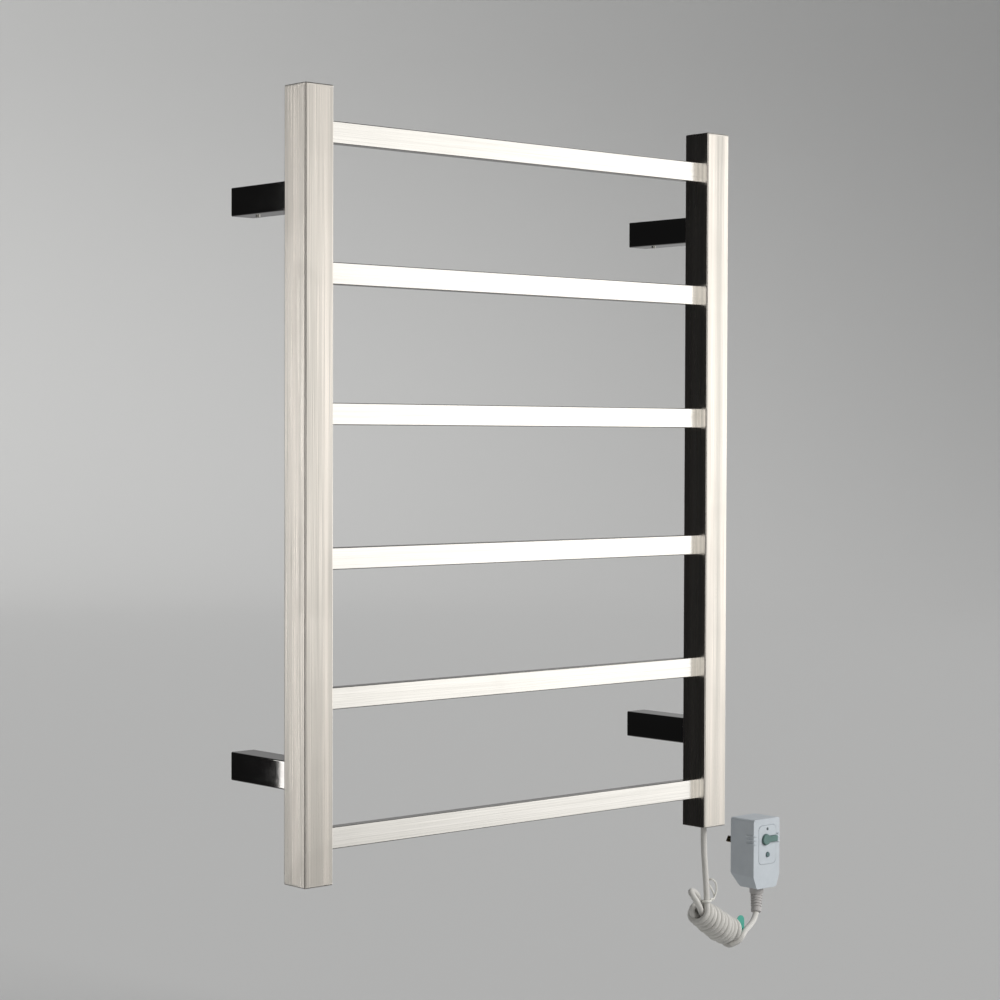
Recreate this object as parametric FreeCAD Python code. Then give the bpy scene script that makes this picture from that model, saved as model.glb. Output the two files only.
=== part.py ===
import FreeCAD, Part
import math
import os
from FreeCAD import Vector

# Electric towel warmer rack with square posts, flat rails, wall arms and a corded safety plug.
# Millimetres. X runs along the wall, Y into the wall, Z up. The wall is the plane y = 0, and the
# origin is the centre of the four wall fixings.

# ---- rack ----
RACK_WIDTH = 520.0
POST_HEIGHT = 680.0
POST_SIDE = 30.0
POST_WALL = 1.5
POST_CORNER = 1.3
WALL_GAP = 80.0
CAP_THICK = 2.0
CAP_ROUND = 0.9
CAP_SPIGOT = 9.0
RAIL_PITCH = 120.0
MIDDLE_PITCH = 124.0
RAIL_COUNT = 6
RAIL_HEIGHT = 19.0
RAIL_DEPTH = 10.0
RAIL_WALL = 1.2
RAIL_CORNER = 0.8
WINDOW_HEIGHT = 13.0
WINDOW_DEPTH = 6.6

# ---- wall arms ----
ARM_SIDE = 25.0
ARM_WALL = 1.5
ARM_CORNER = 1.2
ARM_HEIGHT_AT = 247.0
ARM_END_PLATE = 3.0
INSERT_SIDE = 21.6
INSERT_WALL = 2.0
INSERT_BASE = 3.0
INSERT_LENGTH = 32.0
WALL_SCREW_HOLE_R = 2.5
GRUB_R = 2.0
GRUB_LENGTH = 4.2
GRUB_FROM_WALL = 22.0
ARM_BOLT_R = 2.95
ARM_BOLT_HOLE_R = 3.2
ARM_BOLT_HEAD_R = 5.0
ARM_BOLT_HEAD = 4.0
WELD_NUT_R = 5.8
WELD_NUT_THICK = 5.0

# ---- heating cable ----
CABLE_R = 2.5
CABLE_BEND = 9.0
CABLE_X = 242.0
CABLE_START_Z = -280.0
CABLE_END_Z = 284.0

LEAD_R = 1.0
JACKET_TOP = -313.0
LEADS_PART = -309.0
LEADS_UP = -300.5
CUTOUT_LEAD_TOP = -222.0
NEUTRAL_LEAD_TOP = -216.0
CORE_SPREAD = 2.6
SPLICE_LENGTH = 22.0
SPLICE_R = 4.4
END_SEAL_R = 3.6
CUTOUT_X = 252.0
CUTOUT_BOTTOM = -252.0
CUTOUT_TOP = -232.0
CUTOUT_HALF_WIDTH = 3.0
STUD_R = 1.5
STUD_LENGTH = 6.5
STUD_Z = -286.0
STUD_OFFSET = 7.5

# ---- mains cord ----
CORD_R = 3.0
GLAND_LIP = 2.0
GLAND_NECK_R = 5.6
GLAND_BODY_R = 6.6
CLAMP_R = 5.4
HANK_START = Vector(246.2, -90.0, -427.5)
HANK_END = Vector(290.8, -86.0, -453.3)
HANK_R_START = 13.6
HANK_R_END = 15.4
FOLD_START = Vector(241.0, -93.0, -424.0)
FOLD_REACH = Vector(-14.0, -4.5, 16.0)
FOLD_R = 6.4
# Hand-chosen corners of the cord's two free stretches.
UPPER_ROUTE = [
    (245, -95, -342),
    (245, -95, -360),
    (247.2, -96, -386),
    (246.6, -98.2, -406),
    (245, -100.4, -421),
]
LOWER_ROUTE = [
    (362.5, -59, -446.8),
    (355.5, -63.5, -452.5),
    (341, -73, -455),
    (325, -82.5, -456),
    (309, -91, -457.5),
    (296.5, -93.5, -460.5),
    (283.5, -92.5, -461.5),
]
TIE_R = 0.8
TIE_RING_AT = Vector(245.7, -99.4, -414.4)
TIE_RING_R = 4.1
TIE_ROUTE = [
    (249.5, -100.7, -414.6),
    (256.3, -102, -411.5),
    (257.4, -101.6, -396),
    (252.8, -100.2, -396.5),
    (249.2, -97.2, -414.8),
]
TIE_BEND = 2.0
TAG_AT = Vector(307.4, -87.7, -449.2)
TAG_WIDTH = 11.0
TAG_HEIGHT = 20.6
TAG_THICK = 0.8

# ---- safety plug ----
PLUG_X = 370.5
PLUG_WIDTH = 39.6
PLUG_FRONT = -66.0
PLUG_SPLIT = -53.0
PLUG_BACK = -34.0
PLUG_TOP = -350.0
PLUG_BOTTOM = -422.0
PLUG_WALL = 2.0
PLUG_TAPER = 5.0
PLUG_TAPER_RISE = 13.0
BACK_CHAMFER = 9.0
BACK_CHAMFER_RISE = 15.0
PANEL_WIDTH = 26.0
PANEL_TOP = -357.0
PANEL_BOTTOM = -397.0
PANEL_THICK = 0.8
RESET_X = 368.8
RESET_Z = -371.5
RESET_R = 5.5
RESET_ARM_END = 385.3
RESET_ARM_HALF = 3.1
RESET_TRAVEL = 1.5
TEST_X = 371.8
TEST_Z = -387.4
TEST_R = 2.6
TEST_TRAVEL = 1.2
LIGHT_X = 371.6
LIGHT_Z = -360.8
LIGHT_R = 1.5
BUTTON_GAP = 0.3
BOARD_Y = -52.0
BOARD_THICK = 1.6
PIN_LENGTH = 17.0
PIN_WIDTH = 6.35
PIN_THICK = 1.6
LINE_PIN_RADIUS = 7.92
EARTH_PIN_RADIUS = 10.31
PIN_CENTRE_Z = -380.0
RELIEF_X = 369.6
RELIEF_NECK_R = 5.0
RELIEF_COLLAR_R = 7.2
RELIEF_COLLAR = 7.0
RELIEF_R = 6.1
RELIEF_RIBS = 5
GROOVE = 0.35
RIB_PROUD = 1.0
RIB_HALF = 0.9
RIB_SOFT = 0.75
RIB_ZS = (-366.8, -370.9, -375.0)
BOSSES = [(-13.6, -356.6), (13.6, -356.6), (-12.6, -402.5), (12.6, -402.5)]
BOSS_R = 2.9
SCREW_R = 1.3

# ---- worked out from the above ----
X, Y, Z = Vector(1, 0, 0), Vector(0, 1, 0), Vector(0, 0, 1)
POST_X = (RACK_WIDTH - POST_SIDE) / 2
POST_BACK = -WALL_GAP
POST_FRONT = POST_BACK - POST_SIDE
POST_Y = (POST_BACK + POST_FRONT) / 2
HALF_HEIGHT = POST_HEIGHT / 2
RAIL_END = POST_X - POST_SIDE / 2
RAIL_ZS = []
for step in range(RAIL_COUNT // 2):
    RAIL_ZS.append(MIDDLE_PITCH / 2 + step * RAIL_PITCH)
RAIL_ZS = sorted(RAIL_ZS + [-z for z in RAIL_ZS], reverse=True)
SPLICE_TOP = CABLE_START_Z + SPLICE_LENGTH
LIVE_Y = POST_Y + CORE_SPREAD
NEUTRAL_Y = POST_Y - CORE_SPREAD
STUD_Y = POST_Y + STUD_OFFSET
SIDES = {"left": -1, "right": 1}
ENDS = {"top": 1, "bottom": -1}

nodes = {}


# ---- shape helpers ----
def box(x0, x1, y0, y1, z0, z1):
    return Part.makeBox(x1 - x0, y1 - y0, z1 - z0, Vector(x0, y0, z0))


def rod(radius, length, start, direction):
    return Part.makeCylinder(radius, length, Vector(*start), direction)


def rounded(shape, radius, direction):
    """Round the edges that run along one direction."""
    edges = []
    for edge in shape.Edges:
        along = edge.tangentAt(edge.FirstParameter)
        if abs(along.dot(direction)) > 0.999 and isinstance(edge.Curve, Part.Line):
            edges.append(edge)
    return shape.makeFillet(radius, edges)


def rounded_box(x0, x1, y0, y1, z0, z1, radius, direction):
    return rounded(box(x0, x1, y0, y1, z0, z1), radius, direction)


def soft_ends(shape, radius, direction, level):
    """Round the outline of the flat face at one level along a direction."""
    edges = []
    for edge in shape.Edges:
        if all(abs(v.Point.dot(direction) - level) < 1e-6 for v in edge.Vertexes):
            if abs(edge.CenterOfMass.dot(direction) - level) < 1e-6:
                edges.append(edge)
    return shape.makeFillet(radius, edges)


def merged(shapes):
    whole = shapes[0].multiFuse(shapes[1:]) if len(shapes) > 1 else shapes[0]
    whole = whole.removeSplitter()
    return whole.Solids[0] if len(whole.Solids) == 1 else whole


def turned(outline, start, direction):
    """Turn an outline of (radius, height) points about an axis."""
    points = [Vector(r, 0, h) for r, h in outline]
    face = Part.Face(Part.makePolygon(points + [points[0]]))
    solid = face.revolve(Vector(0, 0, 0), Z, 360)
    solid.Placement = FreeCAD.Placement(Vector(*start), FreeCAD.Rotation(Z, direction))
    return solid


def route_wire(points, fixed_radius=None, name=None):
    """Straight runs joined by tangent arcs. Returns the wire and prints the radii."""
    corners = [Vector(*p) for p in points]
    edges = []
    radii = []
    here = corners[0]
    for before, corner, after in zip(corners, corners[1:], corners[2:]):
        back = before - corner
        ahead = after - corner
        runs = min(back.Length, ahead.Length)
        back.normalize()
        ahead.normalize()
        half_turn = (math.pi - math.acos(max(-1, min(1, back.dot(ahead))))) / 2
        radius = fixed_radius or 0.45 * runs / math.tan(half_turn)
        cut = radius * math.tan(half_turn)
        first = corner + back * cut
        last = corner + ahead * cut
        inward = back + ahead
        inward.normalize()
        centre = corner + inward * (radius / math.cos(half_turn))
        middle = centre - inward * radius
        edges.append(Part.LineSegment(here, first).toShape())
        edges.append(Part.Arc(first, middle, last).toShape())
        radii.append(round(radius, 1))
        here = last
    edges.append(Part.LineSegment(here, corners[-1]).toShape())
    wire = Part.Wire(edges)
    if name:
        print(name, "length", round(wire.Length, 1), "radii", radii)
    return wire


def route_tube(points, radius, fixed_radius=None, name=None):
    wire = route_wire(points, fixed_radius, name)
    start = Vector(*points[0])
    direction = Vector(*points[1]) - start
    ring = Part.Wire(Part.makeCircle(radius, start, direction))
    tube = wire.makePipeShell([ring], True, False)
    wanted = math.pi * radius * radius * wire.Length
    if abs(tube.Volume / wanted - 1) > 0.01:
        print("VOLUME", name, tube.Volume, wanted)
    return tube


def coil_spring(radius, wire_r, y0, y1, x, z, turns):
    helix = Part.makeHelix((y1 - y0 - 2 * wire_r) / turns, y1 - y0 - 2 * wire_r, radius)
    start = Vector(radius, 0, 0)
    ring = Part.Wire(Part.makeCircle(wire_r, start, Y))
    coil = Part.Wire(helix.Edges).makePipeShell([ring], True, True)
    turn = FreeCAD.Rotation(Z, Y)
    coil.Placement = FreeCAD.Placement(Vector(x, y0 + wire_r, z), turn)
    return coil


# ---- rack frame ----
def square_tube(x0, x1, y0, y1, z0, z1, wall, corner, direction):
    outer = rounded_box(x0, x1, y0, y1, z0, z1, corner, direction)
    inset = Vector(wall, wall, wall) - direction * (wall + 1)
    inner = rounded_box(
        x0 + inset.x, x1 - inset.x, y0 + inset.y, y1 - inset.y, z0 + inset.z, z1 - inset.z,
        max(corner - wall, 0.4), direction,
    )
    return outer.cut(inner)


def post(side):
    x = side * POST_X
    half = POST_SIDE / 2
    top = HALF_HEIGHT - CAP_THICK
    tube = square_tube(x - half, x + half, POST_FRONT, POST_BACK, -top, top, POST_WALL, POST_CORNER, Z)
    inner_face = x - side * half
    cuts = []
    for z in RAIL_ZS:
        ends = sorted([inner_face - side, inner_face + side * (POST_WALL + 1)])
        cuts.append(box(
            ends[0], ends[1], POST_Y - WINDOW_DEPTH / 2, POST_Y + WINDOW_DEPTH / 2,
            z - WINDOW_HEIGHT / 2, z + WINDOW_HEIGHT / 2,
        ))
    for level in ENDS.values():
        start = (x, POST_BACK + 1, level * ARM_HEIGHT_AT)
        cuts.append(rod(ARM_BOLT_HOLE_R, POST_WALL + 2, start, -Y))
    return tube.cut(Part.makeCompound(cuts))


def rail(z):
    return square_tube(
        -RAIL_END, RAIL_END, POST_Y - RAIL_DEPTH / 2, POST_Y + RAIL_DEPTH / 2,
        z - RAIL_HEIGHT / 2, z + RAIL_HEIGHT / 2, RAIL_WALL, RAIL_CORNER, X,
    )


def post_cap(side, level):
    x = side * POST_X
    half = POST_SIDE / 2
    inner = half - POST_WALL - 0.05
    seat = HALF_HEIGHT - CAP_THICK
    plate = rounded_box(x - half, x + half, POST_FRONT, POST_BACK, seat, HALF_HEIGHT, POST_CORNER, Z)
    plate = soft_ends(plate, CAP_ROUND, Z, HALF_HEIGHT)
    spigot = box(x - inner, x + inner, POST_Y - inner, POST_Y + inner, seat - CAP_SPIGOT, seat)
    lip = inner - POST_WALL
    hollow = box(x - lip, x + lip, POST_Y - lip, POST_Y + lip, seat - CAP_SPIGOT - 1, seat)
    cap = merged([plate, rounded(spigot, 0.8, Z).cut(hollow)])
    if level < 0:
        cap = cap.mirror(Vector(0, 0, 0), Z)
    if side > 0 and level < 0:
        cap = cap.cut(rod(GLAND_NECK_R, 20, (x, POST_Y, -HALF_HEIGHT - 5), Z))
    return cap


# ---- wall fixing ----
def wall_arm(side, level):
    x = side * POST_X
    z = level * ARM_HEIGHT_AT
    half = ARM_SIDE / 2
    inner = half - ARM_WALL
    outer = rounded_box(x - half, x + half, POST_BACK, 0, z - half, z + half, ARM_CORNER, Y)
    hollow = box(x - inner, x + inner, POST_BACK + ARM_END_PLATE, 1, z - inner, z + inner)
    arm = outer.cut(hollow)
    arm = arm.cut(rod(ARM_BOLT_HOLE_R, ARM_END_PLATE + 2, (x, POST_BACK - 1, z), Y))
    return arm.cut(rod(GRUB_R, ARM_WALL + 2, (x, -GRUB_FROM_WALL, z - half - 1), Z))


def wall_insert(side, level):
    x = side * POST_X
    z = level * ARM_HEIGHT_AT
    half = INSERT_SIDE / 2
    inner = half - INSERT_WALL
    block = rounded_box(x - half, x + half, -INSERT_LENGTH, 0, z - half, z + half, 0.6, Y)
    hollow = box(x - inner, x + inner, -INSERT_LENGTH - 1, -INSERT_BASE, z - inner, z + inner)
    block = block.cut(hollow)
    block = block.cut(rod(WALL_SCREW_HOLE_R, INSERT_BASE + 2, (x, 1, z), -Y))
    seat = z - half - 0.1
    return block.cut(rod(GRUB_R + 0.05, 1.5, (x, -GRUB_FROM_WALL, seat), Z))


def grub_screw(side, level):
    x = side * POST_X
    z = level * ARM_HEIGHT_AT - ARM_SIDE / 2
    start = (x, -GRUB_FROM_WALL, z - 1.2)
    screw = rod(GRUB_R, GRUB_LENGTH, start, Z)
    socket = Part.Face(Part.makePolygon([
        Vector(x + 1.1 * math.cos(a), -GRUB_FROM_WALL + 1.1 * math.sin(a), z - 1.3)
        for a in [math.radians(60 * k) for k in range(7)]
    ])).extrude(Z * 1.6)
    return screw.cut(socket)


def hexagon(x, y, z, radius, length, direction_y):
    corners = []
    for k in range(7):
        a = math.radians(60 * k)
        corners.append(Vector(x + radius * math.cos(a), y, z + radius * math.sin(a)))
    return Part.Face(Part.makePolygon(corners)).extrude(Y * length * direction_y)


def arm_bolt(side, level):
    x = side * POST_X
    z = level * ARM_HEIGHT_AT
    under_head = POST_BACK + ARM_END_PLATE
    shank_length = ARM_END_PLATE + POST_WALL + WELD_NUT_THICK
    head = rod(ARM_BOLT_HEAD_R, ARM_BOLT_HEAD, (x, under_head, z), Y)
    head = soft_ends(head, 0.6, Y, under_head + ARM_BOLT_HEAD)
    shank = rod(ARM_BOLT_R, shank_length, (x, under_head, z), -Y)
    key = hexagon(x, under_head + 1.5, z, 2.9, ARM_BOLT_HEAD, 1)
    return merged([head, shank]).cut(key)


def weld_nut(side, level):
    x = side * POST_X
    z = level * ARM_HEIGHT_AT
    inside = POST_BACK - POST_WALL
    nut = hexagon(x, inside, z, WELD_NUT_R, WELD_NUT_THICK, -1)
    return nut.cut(rod(ARM_BOLT_R, WELD_NUT_THICK + 2, (x, inside + 1, z), -Y))


# ---- heating cable and its wiring ----
def heating_cable():
    route = [(CABLE_X, POST_Y, CABLE_START_Z)]
    side = 1
    for z in reversed(RAIL_ZS):
        route.append((side * CABLE_X, POST_Y, z))
        side = -side
        route.append((side * CABLE_X, POST_Y, z))
    route.append((side * CABLE_X, POST_Y, CABLE_END_Z))
    return route_tube(route, CABLE_R, CABLE_BEND, "heating_cable")


def lead(points, bend, name):
    return route_tube(points, LEAD_R, bend, name)


def wiring():
    parts = {}
    post_inside = POST_X + POST_SIDE / 2 - POST_WALL
    parts["cable_splice"] = turned(
        [(0, 0), (SPLICE_R - 1, 0), (SPLICE_R, 1.6), (SPLICE_R, SPLICE_LENGTH - 1.6),
         (SPLICE_R - 1, SPLICE_LENGTH), (0, SPLICE_LENGTH)],
        (CABLE_X, POST_Y, CABLE_START_Z), Z,
    )
    parts["cable_end_seal"] = turned(
        [(0, 0), (END_SEAL_R - 1, 0), (END_SEAL_R, 2), (END_SEAL_R, SPLICE_LENGTH - 1),
         (END_SEAL_R - 0.8, SPLICE_LENGTH), (0, SPLICE_LENGTH)],
        (CABLE_X, POST_Y, CABLE_END_Z - SPLICE_LENGTH), Z,
    )
    cutout = rounded_box(
        CUTOUT_X - CUTOUT_HALF_WIDTH, CUTOUT_X + CUTOUT_HALF_WIDTH, LIVE_Y - 2, LIVE_Y + 2.4,
        CUTOUT_BOTTOM, CUTOUT_TOP, 0.8, Z,
    )
    parts["thermal_cutout"] = cutout
    parts["live_lead"] = lead(
        [(246.4, LIVE_Y - 1.2, JACKET_TOP), (246.4, LIVE_Y - 1.2, LEADS_PART),
         (CUTOUT_X, LIVE_Y, LEADS_UP), (CUTOUT_X, LIVE_Y, CUTOUT_BOTTOM)], 3.5, "live_lead",
    )
    parts["cutout_lead"] = lead(
        [(CUTOUT_X, LIVE_Y, CUTOUT_TOP), (CUTOUT_X, LIVE_Y, CUTOUT_LEAD_TOP),
         (CABLE_X, LIVE_Y, CUTOUT_LEAD_TOP), (CABLE_X, LIVE_Y, SPLICE_TOP)], 4.5, "cutout_lead",
    )
    parts["neutral_lead"] = lead(
        [(246.4, NEUTRAL_Y + 1.2, JACKET_TOP), (246.4, NEUTRAL_Y + 1.2, LEADS_PART),
         (CUTOUT_X, NEUTRAL_Y, LEADS_UP), (CUTOUT_X, NEUTRAL_Y, NEUTRAL_LEAD_TOP),
         (CABLE_X, NEUTRAL_Y, NEUTRAL_LEAD_TOP), (CABLE_X, NEUTRAL_Y, SPLICE_TOP)], 3.5, "neutral_lead",
    )
    stud_in = post_inside - STUD_LENGTH
    parts["earth_stud"] = rod(STUD_R, post_inside - stud_in, (stud_in, STUD_Y, STUD_Z), X)
    lug_x = post_inside - 0.6
    ring = rod(3.2, 0.8, (lug_x - 0.8, STUD_Y, STUD_Z), X)
    barrel = rod(1.5, 7.4, (lug_x - 1.5, STUD_Y, STUD_Z - 11), Z)
    neck = box(lug_x - 0.8, lug_x, STUD_Y - 1.2, STUD_Y + 1.2, STUD_Z - 5, STUD_Z - 1)
    lug = merged([ring, neck, barrel])
    parts["earth_lug"] = lug.cut(rod(STUD_R + 0.05, 8, (lug_x - 4, STUD_Y, STUD_Z), X))
    corners = []
    for k in range(7):
        a = math.radians(60 * k)
        corners.append(Vector(lug_x - 0.85, STUD_Y + 3.1 * math.cos(a), STUD_Z + 3.1 * math.sin(a)))
    nut = Part.Face(Part.makePolygon(corners)).extrude(X * -2.2)
    parts["earth_nut"] = nut.cut(rod(STUD_R, 8, (lug_x - 5, STUD_Y, STUD_Z), X))
    parts["earth_lead"] = lead(
        [(243.9, POST_Y + 1.8, JACKET_TOP), (243.9, POST_Y + 1.8, -310.6), (249, STUD_Y - 0.8, -307.6),
         (lug_x - 1.5, STUD_Y, -303), (lug_x - 1.5, STUD_Y, STUD_Z - 11)], 1.8, "earth_lead",
    )
    return parts


def gland():
    """Flexible bush that carries the cord through the bottom cap, tapered inside the post."""
    low = -HALF_HEIGHT - GLAND_LIP
    outline = [
        (CORD_R, low), (4.6, low), (6.4, -HALF_HEIGHT - 0.6), (6.4, -HALF_HEIGHT),
        (GLAND_NECK_R, -HALF_HEIGHT), (GLAND_NECK_R, -HALF_HEIGHT + CAP_THICK),
        (GLAND_BODY_R, -HALF_HEIGHT + CAP_THICK + 0.05), (GLAND_BODY_R, -334.5), (3.8, -319), (CORD_R, -319),
    ]
    return turned(outline, (POST_X, POST_Y, 0), Z)


def cord_clamp():
    ring = rod(CLAMP_R, 3.6, (POST_X, POST_Y, -318.4), Z)
    screw = rod(1.4, 4.5, (POST_X + 4.6, POST_Y, -316.6), X)
    return merged([ring, screw]).cut(rod(CORD_R, 8, (POST_X, POST_Y, -320), Z))


# ---- mains cord ----
def cord_hank():
    """Outer shape of the wound cord, with the folded ends that stand out of it at the left."""
    axis = HANK_END - HANK_START
    length = axis.Length
    body = turned(
        [(0, -8), (7, -8), (HANK_R_START, -2), (HANK_R_END, length - 2), (HANK_R_END - 3, length + 4),
         (0, length + 4)],
        HANK_START, axis,
    )
    fold = rod(FOLD_R, FOLD_REACH.Length, FOLD_START, FOLD_REACH)
    fold = merged([fold, Part.makeSphere(FOLD_R, FOLD_START + FOLD_REACH)])
    return merged([body, fold])


def cord_tie():
    """Wire tie: a loop round the cord and a bow that stands out beside it."""
    ring = Part.makeTorus(TIE_RING_R, TIE_R, TIE_RING_AT, Vector(0.107, 0.147, 1))
    bow = route_tube(TIE_ROUTE, TIE_R, TIE_BEND, "cord_tie")
    return merged([ring, bow])


def cord_tag():
    """Folded inspection tag that stands on the cord beside the hank."""
    return rounded_box(
        TAG_AT.x - TAG_WIDTH / 2, TAG_AT.x + TAG_WIDTH / 2, TAG_AT.y - TAG_THICK / 2,
        TAG_AT.y + TAG_THICK / 2, TAG_AT.z - TAG_HEIGHT / 2, TAG_AT.z + TAG_HEIGHT / 2, 4.8, Y,
    )


# ---- safety plug ----
def plug_outline(inset):
    half = PLUG_WIDTH / 2 - inset
    top = PLUG_TOP - inset
    bottom = PLUG_BOTTOM + inset
    rise = PLUG_BOTTOM + PLUG_TAPER_RISE
    return [
        Vector(PLUG_X - half, 0, top), Vector(PLUG_X + half, 0, top), Vector(PLUG_X + half, 0, rise),
        Vector(PLUG_X + half - PLUG_TAPER, 0, bottom), Vector(PLUG_X - half + PLUG_TAPER, 0, bottom),
        Vector(PLUG_X - half, 0, rise),
    ]


def plug_body(inset):
    """Whole housing, solid, drawn in by an inset on every side."""
    corners = plug_outline(inset)
    front = PLUG_FRONT + inset
    back = PLUG_BACK - inset
    face = Part.Face(Part.makePolygon(corners + [corners[0]]))
    solid = face.extrude(Y * (back - front))
    solid.translate(Y * front)
    solid = rounded(solid, max(3.0 - inset, 0.6), Y)
    wedge = Part.Face(Part.makePolygon([
        Vector(PLUG_X - 40, back + 1, PLUG_BOTTOM + BACK_CHAMFER_RISE),
        Vector(PLUG_X - 40, back, PLUG_BOTTOM + BACK_CHAMFER_RISE),
        Vector(PLUG_X - 40, back - BACK_CHAMFER, PLUG_BOTTOM - 0.01 + inset),
        Vector(PLUG_X - 40, back - BACK_CHAMFER, PLUG_BOTTOM - 5),
        Vector(PLUG_X - 40, back + 1, PLUG_BOTTOM - 5),
        Vector(PLUG_X - 40, back + 1, PLUG_BOTTOM + BACK_CHAMFER_RISE),
    ])).extrude(X * 80)
    return solid.cut(wedge)


def grip_rib(z):
    """One raised rib that wraps round both front corners of the housing."""
    half = PLUG_WIDTH / 2 + RIB_PROUD
    band = rounded_box(
        PLUG_X - half, PLUG_X + half, PLUG_FRONT - RIB_PROUD, PLUG_FRONT + 11,
        z - RIB_HALF, z + RIB_HALF, 2.4, Z,
    )
    for level in (z - RIB_HALF, z + RIB_HALF):
        band = soft_ends(band, RIB_SOFT, Z, level)
    clear = half - 5
    return band.cut(box(PLUG_X - clear, PLUG_X + clear, -70, -50, z - 1, z + 1))


def keyhole(grow, y0, y1):
    """Outline of the reset button: a disc with an arm that runs to the right."""
    disc = rod(RESET_R + grow, y1 - y0, (RESET_X, y0, RESET_Z), Y)
    arm = rounded_box(
        RESET_X, RESET_ARM_END + grow, y0, y1, RESET_Z - RESET_ARM_HALF - grow,
        RESET_Z + RESET_ARM_HALF + grow, 1.2, Y,
    )
    return merged([disc, arm])


def face_panel(grow, y0, y1):
    half = PANEL_WIDTH / 2 + grow
    return rounded_box(
        PLUG_X + 1 - half, PLUG_X + 1 + half, y0, y1, PANEL_BOTTOM - grow, PANEL_TOP + grow, 5.0, Y,
    )


def front_holes(y0, y1):
    return [
        keyhole(BUTTON_GAP, y0, y1),
        rod(TEST_R + BUTTON_GAP, y1 - y0, (TEST_X, y0, TEST_Z), Y),
        rod(LIGHT_R + 0.1, y1 - y0, (LIGHT_X, y0, LIGHT_Z), Y),
    ]


def plug_shells():
    outer = plug_body(0)
    cavity = plug_body(PLUG_WALL)
    ribs = [grip_rib(z) for z in RIB_ZS]
    ribbed = outer.multiFuse(ribs)
    shell = ribbed.cut(cavity)
    relief_neck = rod(RELIEF_NECK_R + 0.1, 6, (RELIEF_X, PLUG_SPLIT, PLUG_BOTTOM - 1), Z)
    shell = shell.cut(relief_neck)
    front_half = box(PLUG_X - 50, PLUG_X + 50, -80, PLUG_SPLIT, -440, -340)
    back_half = box(PLUG_X - 50, PLUG_X + 50, PLUG_SPLIT, -20, -440, -340)
    front = shell.common(front_half)
    back = shell.common(back_half)
    front_bosses = []
    back_bosses = []
    for dx, z in BOSSES:
        x = PLUG_X + dx
        inside_front = PLUG_FRONT + PLUG_WALL - 0.5
        boss = rod(BOSS_R, PLUG_SPLIT - inside_front, (x, inside_front, z), Y)
        front_bosses.append(boss.cut(rod(SCREW_R, 9, (x, PLUG_SPLIT - 8, z), Y)))
        back_bosses.append(rod(BOSS_R, PLUG_BACK - PLUG_WALL + 0.5 - PLUG_SPLIT, (x, PLUG_SPLIT, z), Y))
    front = front.multiFuse(front_bosses)
    back = back.multiFuse(back_bosses)
    recess = face_panel(GROOVE, PLUG_FRONT - 1, PLUG_FRONT + PANEL_THICK)
    front = front.cut(Part.makeCompound([recess] + front_holes(-75, PLUG_FRONT + PLUG_WALL + 0.5)))
    holes = []
    for dx, z in BOSSES:
        x = PLUG_X + dx
        holes.append(rod(SCREW_R + 0.15, 30, (x, PLUG_SPLIT - 1, z), Y))
        holes.append(rod(2.6, 8, (x, PLUG_BACK - 6, z), Y))
    for slot in pin_blades(0.05, PLUG_BACK - PLUG_WALL - 1, PLUG_BACK + 1):
        holes.append(slot)
    back = back.cut(Part.makeCompound(holes))
    return front.removeSplitter(), back.removeSplitter()


def pin_blades(grow, y0, y1):
    """Two slanted line blades and an upright earth blade."""
    blades = []
    places = [(-30, 150, LINE_PIN_RADIUS), (30, 30, LINE_PIN_RADIUS), (0, 270, EARTH_PIN_RADIUS)]
    for lean, bearing, radius in places:
        a = math.radians(bearing)
        x = PLUG_X + radius * math.cos(a)
        z = PIN_CENTRE_Z + radius * math.sin(a)
        blade = box(
            x - PIN_THICK / 2 - grow, x + PIN_THICK / 2 + grow, y0, y1,
            z - PIN_WIDTH / 2 - grow, z + PIN_WIDTH / 2 + grow,
        )
        blade.rotate(Vector(x, 0, z), Y, -lean)
        blades.append(blade)
    return blades


def plug_pins():
    names = ["pin_live", "pin_neutral", "pin_earth"]
    pins = {}
    shoulder_y = PLUG_BACK - PLUG_WALL
    blades = pin_blades(0, shoulder_y - 3, PLUG_BACK + PIN_LENGTH)
    roots = pin_blades(0.9, shoulder_y - 3, shoulder_y)
    for name, blade, root in zip(names, blades, roots):
        blade = soft_ends(blade, 0.5, Y, PLUG_BACK + PIN_LENGTH)
        pins[name] = merged([blade, root])
    return pins


def plug_inside():
    parts = {}
    back = BOARD_Y + BOARD_THICK
    parts["circuit_board"] = rounded_box(PLUG_X - 16.6, PLUG_X + 16.6, BOARD_Y, back, -399, -360.2, 1, Y)
    parts["trip_relay"] = rounded_box(355.5, 367.5, back, back + 9.5, -398, -390.5, 0.6, Y)
    ring = rod(5.6, 5.5, (PLUG_X + 7.2, back, -392.6), Y)
    parts["sensing_coil"] = ring.cut(rod(2.6, 10, (PLUG_X + 7.2, back - 1, -392.6), Y))
    solenoid = rod(3.4, 11, (PLUG_X - 5.5, back + 4, -365.4), X)
    core = rod(1.1, 17, (PLUG_X - 8.5, back + 4, -365.4), X)
    cheeks = [rod(4.0, 1, (x, back + 4, -365.4), X) for x in (PLUG_X - 5.5, PLUG_X + 4.5)]
    parts["trip_solenoid"] = merged([solenoid, core] + cheeks)
    contacts = []
    for x in (PLUG_X - 11.5, PLUG_X + 10.0):
        spring_blade = box(x, x + 3, back, back + 0.8, -386, -371)
        stand = box(x, x + 3, back, back + 5.5, -373, -371)
        contacts.append(merged([spring_blade, stand]))
    parts["switch_contacts"] = Part.makeCompound(contacts)
    return parts


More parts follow.
